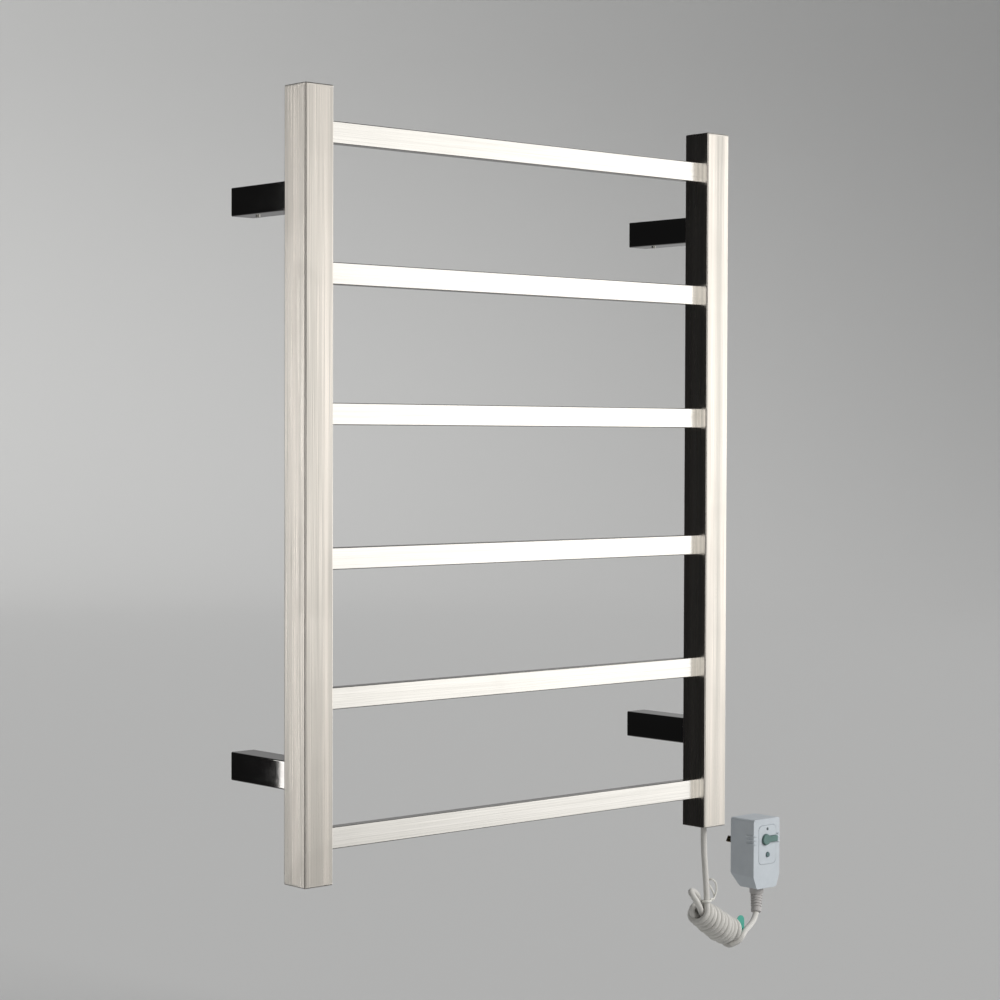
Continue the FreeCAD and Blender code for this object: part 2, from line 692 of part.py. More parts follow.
def reset_button():
    proud = PLUG_FRONT - 2.6
    cap = keyhole(0, proud, PLUG_FRONT + PLUG_WALL + 0.2)
    cap = soft_ends(cap, 0.7, Y, proud)
    flange = rod(RESET_R + 1.3, 1.0, (RESET_X, PLUG_FRONT + PLUG_WALL + 0.2, RESET_Z), Y)
    guide = rod(1.4, 3.8, (RESET_X, PLUG_FRONT + PLUG_WALL + 1.2, RESET_Z), Y)
    return merged([cap, flange, guide])


def test_button():
    proud = PLUG_FRONT - 1.2
    cap = rod(TEST_R, PLUG_FRONT + PLUG_WALL + 0.2 - proud, (TEST_X, proud, TEST_Z), Y)
    cap = soft_ends(cap, 0.5, Y, proud)
    flange = rod(TEST_R + 1.2, 1.0, (TEST_X, PLUG_FRONT + PLUG_WALL + 0.2, TEST_Z), Y)
    guide = rod(0.9, 3.8, (TEST_X, PLUG_FRONT + PLUG_WALL + 1.2, TEST_Z), Y)
    return merged([cap, flange, guide])


def plug_strain_relief():
    """Ribbed boot: a neck held by the housing, a collar, and a leaning, tapered body."""
    start = Vector(RELIEF_X, PLUG_SPLIT, PLUG_BOTTOM)
    neck = rod(RELIEF_NECK_R, 4.2, start, Z)
    held = rod(6.2, 2.6, start + Z * PLUG_WALL, Z)
    collar = rod(RELIEF_COLLAR_R, RELIEF_COLLAR, start - Z * RELIEF_COLLAR, Z)
    collar = soft_ends(collar, 1.0, Z, start.z - RELIEF_COLLAR)
    body_start = start - Z * (RELIEF_COLLAR - 0.8)
    direction = Vector(*LOWER_ROUTE[0]) - body_start
    length = direction.Length
    outline = [(0, 0), (RELIEF_R, 0)]
    rib_pitch = (length - 6.5) / RELIEF_RIBS
    for k in range(RELIEF_RIBS):
        rib_start = 3.6 + k * rib_pitch
        radius = RELIEF_R - 0.16 * k
        outline += [
            (radius, rib_start), (radius - 0.8, rib_start + 0.3),
            (radius - 0.8, rib_start + 1.0), (radius - 0.1, rib_start + 1.3),
        ]
    outline += [(5.2, length - 0.6), (4.8, length), (0, length)]
    body = turned(outline, body_start, direction)
    return merged([neck, held, collar, body])


def plug_screw(dx, z):
    x = PLUG_X + dx
    head = rod(2.4, 1.8, (x, PLUG_BACK - 6, z), Y)
    slot = box(x - 2, x + 2, PLUG_BACK - 4.9, PLUG_BACK - 4, z - 0.3, z + 0.3)
    shank = rod(SCREW_R - 0.02, PLUG_BACK - 6 - (PLUG_SPLIT - 7.5), (x, PLUG_SPLIT - 7.5, z), Y)
    return merged([head, shank]).cut(slot)


# ---- make every node ----
for name, side in SIDES.items():
    nodes[name + "_post"] = post(side)
for index, z in enumerate(RAIL_ZS):
    nodes["rail_" + str(index + 1)] = rail(z)
screws = {"grub_screws": grub_screw, "arm_bolts": arm_bolt, "weld_nuts": weld_nut}
groups = {name: [] for name in screws}
for side_name, side in SIDES.items():
    for end_name, level in ENDS.items():
        place = side_name + "_" + end_name
        nodes["post_cap_" + place] = post_cap(side, level)
        nodes["wall_arm_" + place] = wall_arm(side, level)
        nodes["wall_insert_" + place] = wall_insert(side, level)
        for name, make in screws.items():
            groups[name].append(make(side, level))
for name, shapes in groups.items():
    nodes[name] = Part.makeCompound(shapes)

nodes["heating_cable"] = heating_cable()
nodes.update(wiring())
nodes["cord_gland"] = gland()
nodes["cord_clamp"] = cord_clamp()
nodes["cord_jacket_end"] = rod(CORD_R, JACKET_TOP + HALF_HEIGHT + GLAND_LIP, UPPER_ROUTE[0], Z)

nodes["mains_cord_upper"] = route_tube(UPPER_ROUTE, CORD_R, None, "mains_cord_upper")
nodes["mains_cord_lower"] = route_tube(LOWER_ROUTE, CORD_R, None, "mains_cord_lower")
nodes["cord_hank"] = cord_hank()
nodes["cord_tie"] = cord_tie()
nodes["cord_tag"] = cord_tag()

front_shell, back_shell = plug_shells()
nodes["plug_front_shell"] = front_shell
nodes["plug_back_shell"] = back_shell
panel = face_panel(0, PLUG_FRONT - 0.15, PLUG_FRONT + PANEL_THICK)
nodes["plug_face_panel"] = panel.cut(Part.makeCompound(front_holes(-75, -60)))
nodes.update(plug_pins())
nodes.update(plug_inside())
nodes["indicator_lens"] = soft_ends(
    rod(LIGHT_R, 3.4, (LIGHT_X, PLUG_FRONT - 0.4, LIGHT_Z), Y), 0.35, Y, PLUG_FRONT - 0.4,
)
nodes["reset_button"] = reset_button()
nodes["test_button"] = test_button()
spring_start = PLUG_FRONT + PLUG_WALL + 1.3
nodes["reset_spring"] = coil_spring(2.6, 0.35, spring_start, BOARD_Y, RESET_X, RESET_Z, 6)
nodes["test_spring"] = coil_spring(1.7, 0.3, spring_start, BOARD_Y, TEST_X, TEST_Z, 6)
nodes["plug_strain_relief"] = plug_strain_relief()
nodes["plug_screws"] = Part.makeCompound([plug_screw(dx, z) for dx, z in BOSSES])

os.makedirs("parts", exist_ok=True)
for name, shape in nodes.items():
    if not shape.isValid():
        print("NOT VALID", name)
    shape.exportStep("parts/" + name + ".step")
print(len(nodes), "nodes")
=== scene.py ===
import math

import bpy
from mathutils import Matrix, Vector


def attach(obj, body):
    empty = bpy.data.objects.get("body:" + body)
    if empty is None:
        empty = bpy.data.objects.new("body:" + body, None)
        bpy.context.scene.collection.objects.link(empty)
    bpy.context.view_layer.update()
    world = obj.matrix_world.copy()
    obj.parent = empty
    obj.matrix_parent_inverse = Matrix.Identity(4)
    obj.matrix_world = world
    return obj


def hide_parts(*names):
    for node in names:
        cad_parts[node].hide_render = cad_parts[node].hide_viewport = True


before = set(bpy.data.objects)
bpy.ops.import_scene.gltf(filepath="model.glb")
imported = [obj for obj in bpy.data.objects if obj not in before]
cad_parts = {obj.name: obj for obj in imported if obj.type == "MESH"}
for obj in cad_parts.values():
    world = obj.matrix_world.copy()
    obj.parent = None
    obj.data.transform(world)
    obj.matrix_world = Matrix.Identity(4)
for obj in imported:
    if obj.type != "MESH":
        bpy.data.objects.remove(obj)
for leftOver in ("Cube", "Light", "Camera"):
    if leftOver in bpy.data.objects:
        bpy.data.objects.remove(bpy.data.objects[leftOver])
bpy.context.view_layer.update()
print("frame loaded:", len(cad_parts), "parts")


# small helpers

def deselectAll():
    if bpy.context.mode != "OBJECT":
        bpy.ops.object.mode_set(mode="OBJECT")
    bpy.ops.object.select_all(action="DESELECT")


def pick(obj):
    deselectAll()
    obj.select_set(True)
    bpy.context.view_layer.objects.active = obj


def settle(obj, name):
    # the piece's place goes into its mesh, and its object stays at the origin
    pick(obj)
    bpy.ops.object.transform_apply(location=True, rotation=True, scale=True)
    obj.name = name
    obj.data.name = name
    return obj


def link(tree, fromSocket, toSocket):
    tree.links.new(fromSocket, toSocket)


# camera

cameraPlan = {
    "place": (-1.490, -1.7295, 0.03992),
    "turn": 41.837,    # degrees to the right of the wall's normal
    "tilt": -1.4225,   # degrees above level
    "roll": 0.1668,
    "lens": 86.752,
    "sensor": 36.0,
    "clip": (0.05, 80),
}

cameraData = bpy.data.cameras.new("camera")
cameraData.lens = cameraPlan["lens"]
cameraData.sensor_width = cameraPlan["sensor"]
cameraData.clip_start, cameraData.clip_end = cameraPlan["clip"]
camera = bpy.data.objects.new("camera", cameraData)
bpy.context.scene.collection.objects.link(camera)
camera.location = cameraPlan["place"]
camera.rotation_euler = (
    Matrix.Rotation(-math.radians(cameraPlan["turn"]), 3, "Z")
    @ Matrix.Rotation(math.radians(90 + cameraPlan["tilt"]), 3, "X")
    @ Matrix.Rotation(math.radians(cameraPlan["roll"]), 3, "Z")
).to_euler()
bpy.context.scene.camera = camera
bpy.context.scene.view_settings.view_transform = "Standard"
print("camera placed")


# mains cord: out of the post, folded, wound into a hank, and on to the plug

cordPlan = {
    "diameter": 0.006,
    "length": 1.13,
    "exit": (0.245, -0.095, -0.342),
    "upper": [
        (0.2450, -0.0950, -0.3420),
        (0.2450, -0.0950, -0.3600),
        (0.2468, -0.0958, -0.3860),
        (0.2470, -0.0970, -0.4010),
        (0.2462, -0.0985, -0.4110),
        (0.2452, -0.1000, -0.4190),
    ],
    "hankStart": (0.2462, -0.0900, -0.4275),  # middle of the first turn
    "hankEnd": (0.2908, -0.0860, -0.4533),    # middle of the last turn
    "sag": 0.0009,                   # how far the middle of the hank hangs down
    "coreRadius": (0.0047, 0.0060),  # of the folded strands inside, at the start and at the end
    "wrapRadius": (0.0106, 0.0122),  # to the middle of the cord
    "bulge": 0.0008,                 # of the turns in the middle
    "wrapFrom": -0.0035,
    "wraps": 8.95,
    "firstAngle": 88,
    "pointsPerWrap": 14,
    "unevenRadius": [(0.00035, 2.3, 0), (0.0002, 5.1, 1)],  # size, rate and start of each wave
    "unevenAlong": (0.0007, 0.9, 1.7),
    "dive": [  # into the far end: past the end, radius, angle
        (0.0024, 0.0112, 98), (0.0026, 0.0086, 118), (0.0004, 0.0066, 131),
    ],
    "strands": [  # inside the turns: angle, and the gap left to the open end and to the far end
        (135, 0.0045, 0.005),
        (225, 0.0052, 0.010),
        (45, 0.0125, 0.010),
        (-45, 0.0125, 0.002),
    ],
    "strandPoints": 5,
    "foldGap": 0.008,
    "foldSteps": 6,
    "innerFoldRadius": 0.0046,
    "innerFold": [(0.0095, 42), (0.0075, 24), (0.0068, 0), (0.0075, -24), (0.0095, -42)],
    "turnOut": [  # the last turn, the other way round: past the end, radius, angle
        (0.0020, 0.0066, 313), (0.0046, 0.0082, 298), (0.0058, 0.0098, 272), (0.0060, 0.0108, 244),
        (0.0061, 0.0112, 216), (0.0063, 0.0114, 190), (0.0066, 0.0118, 168),
    ],
    "petal": [  # the fold that sticks out of the hank's open end
        (0.2431, -0.0945, -0.4272),
        (0.2374, -0.0975, -0.4205),
        (0.2302, -0.0998, -0.4131),
        (0.2237, -0.1010, -0.4066),
        (0.2219, -0.0998, -0.4032),
        (0.2277, -0.0962, -0.4028),
        (0.2346, -0.0940, -0.4062),
        (0.2401, -0.0925, -0.4110),
        (0.2416, -0.0915, -0.4158),
        (0.2388, -0.0905, -0.4189),
        (0.2354, -0.0895, -0.4214),
        (0.2347, -0.0888, -0.4248),
        (0.2375, -0.0880, -0.4289),
        (0.2421, -0.0878, -0.4319),
        (0.2462, -0.0885, -0.4330),
    ],
    "lower": [  # from the front of the hank's far end up to the plug
        (0.2940, -0.0915, -0.4647),
        (0.2969, -0.0945, -0.4626),
        (0.2998, -0.0960, -0.4594),
        (0.3035, -0.0950, -0.4564),
        (0.3107, -0.0910, -0.4544),
        (0.3220, -0.0845, -0.4538),
        (0.3355, -0.0765, -0.4534),
        (0.3483, -0.0685, -0.4522),
        (0.3578, -0.0620, -0.4501),
        (0.3622, -0.0592, -0.4474),
    ],
}

hankStart = Vector(cordPlan["hankStart"])
hankAxis = Vector(cordPlan["hankEnd"]) - hankStart
hankLength = hankAxis.length
hankAxis.normalize()
hankUp = (Vector((0, 0, 1)) - hankAxis * hankAxis.z).normalized()
hankFront = hankAxis.cross(hankUp)


def between(ends, share):
    return ends[0] + (ends[1] - ends[0]) * share


def alongShare(along):
    return min(max(along / hankLength, 0), 1)


def onHank(along, radius, angle):
    # a point beside the hank's axis: angle 0 is up, 90 the front, 180 down
    turned = math.radians(angle)
    side = hankUp * math.cos(turned) + hankFront * math.sin(turned)
    share = alongShare(along)
    sagged = hankUp * (-cordPlan["sag"] * math.sin(math.pi * share))
    return tuple(hankStart + hankAxis * along + side * radius + sagged)


def strand(which, outward):
    angle, nearGap, farGap = cordPlan["strands"][which]
    ends = (nearGap, hankLength - farGap)
    if not outward:
        ends = ends[::-1]
    places = []
    for step in range(cordPlan["strandPoints"]):
        along = between(ends, step / (cordPlan["strandPoints"] - 1))
        places.append(onHank(along, between(cordPlan["coreRadius"], alongShare(along)), angle))
    return places


def coreFold(angle):
    # half a turn from one strand to the one across from it, through the hank's far end
    reach = hankLength - cordPlan["foldGap"]
    radius = cordPlan["coreRadius"][1]
    places = []
    for step in range(1, cordPlan["foldSteps"]):
        turned = math.pi * step / cordPlan["foldSteps"]
        places.append(onHank(reach + radius * math.sin(turned), radius * math.cos(turned), angle))
    return places


def wrapPoints():
    places = []
    count = round(cordPlan["wraps"] * cordPlan["pointsPerWrap"])
    size, slant, rate = cordPlan["unevenAlong"]
    for step in range(count + 1):
        turns = between((0, cordPlan["wraps"]), step / count)
        angle = cordPlan["firstAngle"] + 360 * turns
        along = between((cordPlan["wrapFrom"], hankLength), turns / cordPlan["wraps"])
        share = alongShare(along)
        radius = between(cordPlan["wrapRadius"], share) + cordPlan["bulge"] * math.sin(math.pi * share)
        # hand-wound turns: each sits a little tighter, slacker or more slanted than the last
        radius += sum(wave * math.sin(pace * turns + start) for wave, pace, start in cordPlan["unevenRadius"])
        along += size * math.sin(math.radians(angle) + slant * math.sin(rate * turns))
        places.append(onHank(along, radius, angle))
    return places


def cordPoints():
    # wound from the open end to the far end, then four strands through the middle, with one fold left
    # standing out of the open end, and out round the far end the other way
    places = list(cordPlan["upper"])
    places += wrapPoints()
    places += [onHank(hankLength + past, radius, angle) for past, radius, angle in cordPlan["dive"]]
    places += strand(0, outward=False)
    places += cordPlan["petal"]
    places += strand(1, outward=True)
    places += coreFold(cordPlan["strands"][1][0])
    places += strand(2, outward=False)
    places += [onHank(along, cordPlan["innerFoldRadius"], angle) for along, angle in cordPlan["innerFold"]]
    places += strand(3, outward=True)
    places += [onHank(hankLength + past, radius, angle) for past, radius, angle in cordPlan["turnOut"]]
    places += cordPlan["lower"]
    return places


def splineObject(name, places, diameter, smoothness=8, roundness=5):
    curve = bpy.data.curves.new(name, "CURVE")
    curve.dimensions = "3D"
    curve.resolution_u = smoothness
    curve.bevel_depth = diameter / 2
    curve.bevel_resolution = roundness
    curve.use_fill_caps = True
    spline = curve.splines.new("NURBS")
    spline.points.add(len(places) - 1)
    for point, place in zip(spline.points, places):
        point.co = (*place, 1)
    spline.order_u = 3
    spline.use_endpoint_u = True
    obj = bpy.data.objects.new(name, curve)
    bpy.context.scene.collection.objects.link(obj)
    return obj


mainsCord = splineObject("mainsCord", cordPoints(), cordPlan["diameter"])
print("cord wound")


# twist tie that holds the hank to the cord

tiePlan = {
    "wire": 0.0018,
    "bow": [
        (0.2491, -0.1005, -0.4137),
        (0.2526, -0.1010, -0.4138),
        (0.2551, -0.1015, -0.4110),
        (0.2567, -0.1018, -0.4061),
        (0.2570, -0.1015, -0.4006),
        (0.2553, -0.1010, -0.3963),
        (0.2523, -0.1000, -0.3940),
        (0.2517, -0.0970, -0.3945),
        (0.2529, -0.0930, -0.3971),
        (0.2535, -0.0925, -0.3992),
        (0.2511, -0.0975, -0.4002),
        (0.2525, -0.0995, -0.4043),
        (0.2546, -0.1000, -0.4084),
        (0.2561, -0.1000, -0.4124),
        (0.2547, -0.0995, -0.4151),
        (0.2519, -0.0990, -0.4151),
    ],
    "ringCentre": (0.2457, -0.0992, -0.4150),
    "ringRadius": 0.0039,
    "ringTurns": 2.2,
    "pointsPerTurn": 14,
    "ringRise": 0.0012,
}


def ringPoints():
    places = []
    total = int(tiePlan["ringTurns"] * tiePlan["pointsPerTurn"])
    centre = Vector(tiePlan["ringCentre"])
    for step in range(total + 1):
        turned = 2 * math.pi * step / tiePlan["pointsPerTurn"]
        rise = tiePlan["ringRise"] * (step / total - 0.5)
        offset = Vector((math.cos(turned), math.sin(turned), 0)) * tiePlan["ringRadius"]
        places.append(tuple(centre + offset + Vector((0, 0, rise))))
    return places


def makeTie():
    strands = []
    for name, places in (("tieBow", tiePlan["bow"]), ("tieRing", ringPoints())):
        strands.append(splineObject(name, places, tiePlan["wire"], 6, 3))
    deselectAll()
    for obj in strands:
        obj.select_set(True)
    bpy.context.view_layer.objects.active = strands[0]
    bpy.ops.object.convert(target="MESH")
    bpy.ops.object.join()
    return settle(bpy.context.object, "cordTie")


cordTie = makeTie()


# small oval tag on the cord

tagPlan = {
    "centre": (0.3074, -0.0877, -0.4492),
    "width": 0.0110,
    "height": 0.0206,
    "thick": 0.0007,
    "rim": 0.0009,
    "dish": 0.00012,
    "corners": 36,
    "bevel": 0.00015,
    "smoothAngle": 40,
}


def makeTag():
    deselectAll()
    centre = Vector(tagPlan["centre"])
    bpy.ops.mesh.primitive_circle_add(
        vertices=tagPlan["corners"], radius=tagPlan["width"] / 2, fill_type="NGON", location=centre,
        rotation=(math.pi / 2, 0, 0))
    tag = settle(bpy.context.object, "cordTag")
    stretch = (tagPlan["height"] - tagPlan["width"]) / 2
    for sign in (1, -1):
        bpy.ops.object.mode_set(mode="EDIT")
        bpy.ops.mesh.select_mode(type="VERT")
        bpy.ops.mesh.select_all(action="DESELECT")
        bpy.ops.object.mode_set(mode="OBJECT")
        for vertex in tag.data.vertices:
            vertex.select = (vertex.co.z - centre.z) * sign > 1e-5
        bpy.ops.object.mode_set(mode="EDIT")
        bpy.ops.transform.translate(value=(0, 0, sign * stretch))
    bpy.ops.mesh.select_mode(type="FACE")
    bpy.ops.mesh.select_all(action="SELECT")
    bpy.ops.mesh.inset(thickness=tagPlan["rim"])
    bpy.ops.transform.translate(value=(0, tagPlan["dish"], 0))
    bpy.ops.mesh.inset(thickness=tagPlan["rim"] / 2)
    bpy.ops.object.mode_set(mode="OBJECT")
    wall = tag.modifiers.new("wall", "SOLIDIFY")
    wall.thickness = tagPlan["thick"]
    wall.offset = 0
    edge = tag.modifiers.new("edge", "BEVEL")
    edge.width = tagPlan["bevel"]
    edge.segments = 2
    for modifier in ("wall", "edge"):
        bpy.ops.object.modifier_apply(modifier=modifier)
    bpy.ops.object.shade_smooth_by_angle(angle=math.radians(tagPlan["smoothAngle"]))
    return tag


cordTag = makeTag()
print("tie and tag made")


# shared shader groups

def newGroup(name, inputs, outputs):
    group = bpy.data.node_groups.new(name, "ShaderNodeTree")
    for title, kind, value in inputs:
        socket = group.interface.new_socket(title, in_out="INPUT", socket_type=kind)
        if value is not None:
            socket.default_value = value
    for title, kind in outputs:
        group.interface.new_socket(title, in_out="OUTPUT", socket_type=kind)
    start = group.nodes.new("NodeGroupInput")
    end = group.nodes.new("NodeGroupOutput")
    return group, start, end


grainPlan = {
    "lineDetail": 3,
    "lineRoughness": 0.65,
    "bandScale": 0.11,
    "bandDetail": 1.5,
    "cloudDetail": 2,
}


def grainGroup():
    # fine lines that run one way, and the broad cloudiness under them
    group, start, end = newGroup(
        "grainField",
        [("Vector", "NodeSocketVector", None), ("Grain", "NodeSocketVector", (400, 400, 400)),
         ("Cloud", "NodeSocketFloat", 20.0)],
        [("Lines", "NodeSocketFloat"), ("Bands", "NodeSocketFloat"), ("Clouds", "NodeSocketFloat")])
    stretched = group.nodes.new("ShaderNodeVectorMath")
    stretched.operation = "MULTIPLY"
    link(group, start.outputs["Vector"], stretched.inputs[0])
    link(group, start.outputs["Grain"], stretched.inputs[1])
    lines = group.nodes.new("ShaderNodeTexNoise")
    lines.inputs["Scale"].default_value = 1
    lines.inputs["Detail"].default_value = grainPlan["lineDetail"]
    lines.inputs["Roughness"].default_value = grainPlan["lineRoughness"]
    link(group, stretched.outputs[0], lines.inputs["Vector"])
    bands = group.nodes.new("ShaderNodeTexNoise")
    bands.inputs["Scale"].default_value = grainPlan["bandScale"]
    bands.inputs["Detail"].default_value = grainPlan["bandDetail"]
    link(group, stretched.outputs[0], bands.inputs["Vector"])
    link(group, bands.outputs["Fac"], end.inputs["Bands"])
    clouds = group.nodes.new("ShaderNodeTexNoise")
    clouds.inputs["Detail"].default_value = grainPlan["cloudDetail"]
    link(group, start.outputs["Vector"], clouds.inputs["Vector"])
    link(group, start.outputs["Cloud"], clouds.inputs["Scale"])
    link(group, lines.outputs["Fac"], end.inputs["Lines"])
    link(group, clouds.outputs["Fac"], end.inputs["Clouds"])
    return group


smudgePlan = {
    "detail": 4,
    "distortion": 1.2,
    "threshold": (0.45, 0.75),
}


def smudgeGroup():
    # faint wiped marks and dust, as a mask from 0 to 1
    group, start, end = newGroup(
        "smudges",
        [("Vector", "NodeSocketVector", None), ("Size", "NodeSocketFloat", 30.0),
         ("Amount", "NodeSocketFloat", 0.5)],
        [("Mask", "NodeSocketFloat")])
    noise = group.nodes.new("ShaderNodeTexNoise")
    noise.inputs["Detail"].default_value = smudgePlan["detail"]
    noise.inputs["Distortion"].default_value = smudgePlan["distortion"]
    link(group, start.outputs["Vector"], noise.inputs["Vector"])
    link(group, start.outputs["Size"], noise.inputs["Scale"])
    spread = group.nodes.new("ShaderNodeMapRange")
    spread.interpolation_type = "SMOOTHSTEP"
    spread.inputs["From Min"].default_value = smudgePlan["threshold"][0]
    spread.inputs["From Max"].default_value = smudgePlan["threshold"][1]
    link(group, noise.outputs["Fac"], spread.inputs["Value"])
    link(group, start.outputs["Amount"], spread.inputs["To Max"])
    link(group, spread.outputs["Result"], end.inputs["Mask"])
    return group


grainField = grainGroup()
smudges = smudgeGroup()


# finishes: one dictionary row for each of the rack's materials

finishes = {
    "post_steel": dict(base=(0.94, 0.885, 0.82), second=(0.69, 0.665, 0.62), metal=1, rough=(0.24, 0.36),
                       grain=(900, 900, 5), cloud=9, bump=0.05, smudge=0.2),
    "cap_steel": dict(base=(0.84, 0.80, 0.745), second=(0.66, 0.645, 0.60), metal=1, rough=(0.24, 0.36),
                      grain=(20, 700, 700), cloud=40, bump=0.04, smudge=0.2),
    "rail_steel": dict(base=(0.92, 0.905, 0.875), second=(0.85, 0.835, 0.80), metal=1, rough=(0.16, 0.24),
                       grain=(6, 800, 800), cloud=7, bump=0.03, smudge=0.15),
    "arm_steel": dict(base=(0.68, 0.67, 0.66), second=(0.62, 0.61, 0.60), metal=1, rough=(0.025, 0.04),
                      grain=(600, 8, 600), cloud=25, bump=0.006, smudge=0.1),
    "insert_zinc": dict(base=(0.55, 0.56, 0.57), second=(0.44, 0.45, 0.46), metal=1, rough=(0.35, 0.5),
                        grain=(300, 300, 300), cloud=120, bump=0.1, smudge=0.4),
    "fixing_steel": dict(base=(0.62, 0.61, 0.58), second=(0.50, 0.49, 0.46), metal=1, rough=(0.22, 0.36),
                         grain=(900, 900, 900), cloud=150, bump=0.05, smudge=0.3),
    "heating_silicone": dict(base=(0.60, 0.20, 0.14), second=(0.52, 0.16, 0.11), rough=(0.45, 0.6),
                             grain=(500, 500, 60), cloud=60, bump=0.08, smudge=0.3),
    "sleeve_black": dict(base=(0.020, 0.020, 0.022), second=(0.035, 0.035, 0.036), rough=(0.4, 0.55),
                         grain=(600, 600, 60), cloud=80, bump=0.08, smudge=0.3),
    "cutout_body": dict(base=(0.70, 0.66, 0.55), second=(0.62, 0.58, 0.48), rough=(0.35, 0.5),
                        grain=(400, 400, 400), cloud=90, bump=0.06, smudge=0.3),
    "lead_brown": dict(base=(0.16, 0.07, 0.035), second=(0.13, 0.055, 0.03), rough=(0.35, 0.5),
                       grain=(500, 500, 60), cloud=80, bump=0.05, smudge=0.2),
    "lead_red": dict(base=(0.45, 0.04, 0.035), second=(0.38, 0.03, 0.03), rough=(0.35, 0.5),
                     grain=(500, 500, 60), cloud=80, bump=0.05, smudge=0.2),
    "lead_blue": dict(base=(0.04, 0.12, 0.42), second=(0.035, 0.10, 0.36), rough=(0.35, 0.5),
                      grain=(500, 500, 60), cloud=80, bump=0.05, smudge=0.2),
    "lead_earth": dict(base=(0.10, 0.36, 0.07), second=(0.60, 0.55, 0.06), rough=(0.35, 0.5),
                       grain=(500, 500, 60), cloud=70, bump=0.05, smudge=0.2),
    "lug_tin": dict(base=(0.72, 0.71, 0.68), second=(0.60, 0.59, 0.56), metal=1, rough=(0.28, 0.42),
                    grain=(500, 500, 500), cloud=120, bump=0.05, smudge=0.4),
    "gland_rubber": dict(base=(0.50, 0.49, 0.46), second=(0.44, 0.43, 0.40), rough=(0.45, 0.6),
                         grain=(500, 500, 500), cloud=120, bump=0.06, smudge=0.3),
    "clamp_nylon": dict(base=(0.70, 0.69, 0.64), second=(0.63, 0.62, 0.57), rough=(0.35, 0.5),
                        grain=(400, 400, 400), cloud=100, bump=0.05, smudge=0.2),
    "cord_pvc": dict(base=(0.68, 0.665, 0.63), second=(0.61, 0.595, 0.56), rough=(0.34, 0.48),
                     grain=(420, 420, 420), cloud=70, bump=0.10, smudge=0.35),
    "tie_wire": dict(base=(0.82, 0.81, 0.76), second=(0.74, 0.73, 0.68), rough=(0.35, 0.5),
                     grain=(600, 600, 600), cloud=160, bump=0.05, smudge=0.3),
    "tag_teal": dict(base=(0.09, 0.42, 0.33), second=(0.07, 0.37, 0.29), rough=(0.28, 0.4),
                     grain=(300, 300, 300), cloud=90, bump=0.03, smudge=0.3),
    "plug_plastic": dict(base=(0.61, 0.655, 0.695), second=(0.58, 0.625, 0.665), rough=(0.30, 0.42),
                         grain=(900, 900, 900), cloud=45, bump=0.035, smudge=0.3),
    "panel_plastic": dict(base=(0.60, 0.65, 0.69), second=(0.575, 0.62, 0.66), rough=(0.26, 0.38),
                          grain=(900, 900, 900), cloud=45, bump=0.03, smudge=0.3),
    "pin_brass": dict(base=(0.78, 0.62, 0.34), second=(0.66, 0.50, 0.26), metal=1, rough=(0.16, 0.30),
                      grain=(800, 8, 800), cloud=120, bump=0.03, smudge=0.4),
    "board_laminate": dict(base=(0.05, 0.22, 0.10), second=(0.04, 0.18, 0.08), rough=(0.3, 0.45),
                           grain=(500, 500, 500), cloud=120, bump=0.03, smudge=0.2),
    "relay_black": dict(base=(0.022, 0.022, 0.024), second=(0.032, 0.032, 0.034), rough=(0.3, 0.45),
                        grain=(500, 500, 500), cloud=120, bump=0.04, smudge=0.2),
    "coil_ferrite": dict(base=(0.06, 0.055, 0.05), second=(0.09, 0.085, 0.08), rough=(0.4, 0.6),
                         grain=(600, 600, 600), cloud=150, bump=0.08, smudge=0.2),
    "solenoid_copper": dict(base=(0.72, 0.33, 0.16), second=(0.58, 0.25, 0.12), metal=1, rough=(0.25, 0.4),
                            grain=(900, 40, 40), cloud=150, bump=0.12, smudge=0.2),
    "contact_bronze": dict(base=(0.66, 0.45, 0.22), second=(0.56, 0.37, 0.18), metal=1, rough=(0.2, 0.35),
                           grain=(600, 600, 600), cloud=150, bump=0.03, smudge=0.2),
    "lens_clear": dict(base=(0.10, 0.13, 0.14), second=(0.07, 0.09, 0.10), rough=(0.08, 0.16),
                       grain=(500, 500, 500), cloud=200, bump=0.01, smudge=0.1, coat=0.6),
    "button_green": dict(base=(0.135, 0.235, 0.215), second=(0.115, 0.205, 0.19), rough=(0.26, 0.38),
                         grain=(800, 800, 800), cloud=120, bump=0.03, smudge=0.3),
    "button_grey": dict(base=(0.13, 0.20, 0.20), second=(0.11, 0.175, 0.18), rough=(0.28, 0.4),
                        grain=(800, 800, 800), cloud=150, bump=0.03, smudge=0.3),
    "spring_steel": dict(base=(0.60, 0.59, 0.57), second=(0.48, 0.47, 0.45), metal=1, rough=(0.2, 0.32),
                         grain=(900, 900, 900), cloud=150, bump=0.03, smudge=0.2),
    "relief_pvc": dict(base=(0.52, 0.50, 0.49), second=(0.46, 0.44, 0.43), rough=(0.4, 0.55),
                       grain=(500, 500, 500), cloud=90, bump=0.08, smudge=0.3),
}


finishPlan = {
    "markSize": 1.7,              # of the marks against the clouds
    "lineWeight": 0.5,            # of the fine lines against the broad bands
    "mixRange": (0.58, 0.92),
    "lineRange": (0.3, 0.7),
    "markDullness": 0.12,
    "bumpDistance": 0.001,
}


